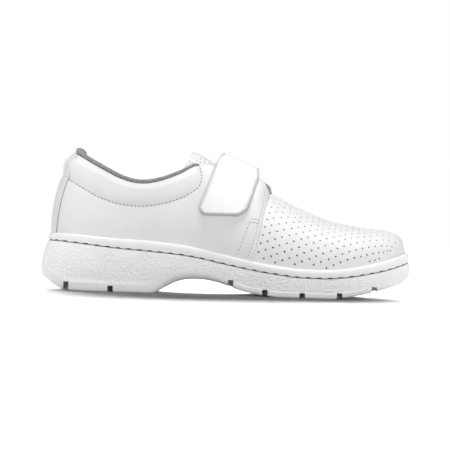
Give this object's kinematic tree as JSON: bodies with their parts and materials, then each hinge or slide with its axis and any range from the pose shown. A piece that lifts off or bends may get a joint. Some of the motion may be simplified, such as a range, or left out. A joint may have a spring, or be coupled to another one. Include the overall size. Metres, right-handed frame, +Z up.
{
  "type": "perforated shoe",
  "caption": "Low closed leather work shoe for the right foot, with a perforated vamp, a broad strap over the instep, a padded collar and a heeled sole with a bead round its edge.",
  "frame": {"origin": "centre of the bounding box's bottom face, on the ground under the middle of the shoe", "axes": "+X to the toe, -Y to the outer side of the right foot, +Z up"},
  "size_m": [0.2898, 0.1056, 0.1113],
  "materials": {
    "sole_rubber": "matt white, pebbled on the sides",
    "welt_rubber": "smooth satin white",
    "white_leather": "satin white, fine grain",
    "tongue_leather": "satin white, perforated",
    "strap_leather": "satin white, smooth",
    "grey_textile": "knitted grey lining cloth",
    "insole_textile": "grey lining cloth"
  },
  "bodies": {
    "root": {"sole": "sole_rubber", "welt": "welt_rubber", "upper": "white_leather", "tongue": "tongue_leather", "strap": "strap_leather", "collar_binding": "grey_textile", "insole": "insole_textile"}
  },
  "joints": []
}
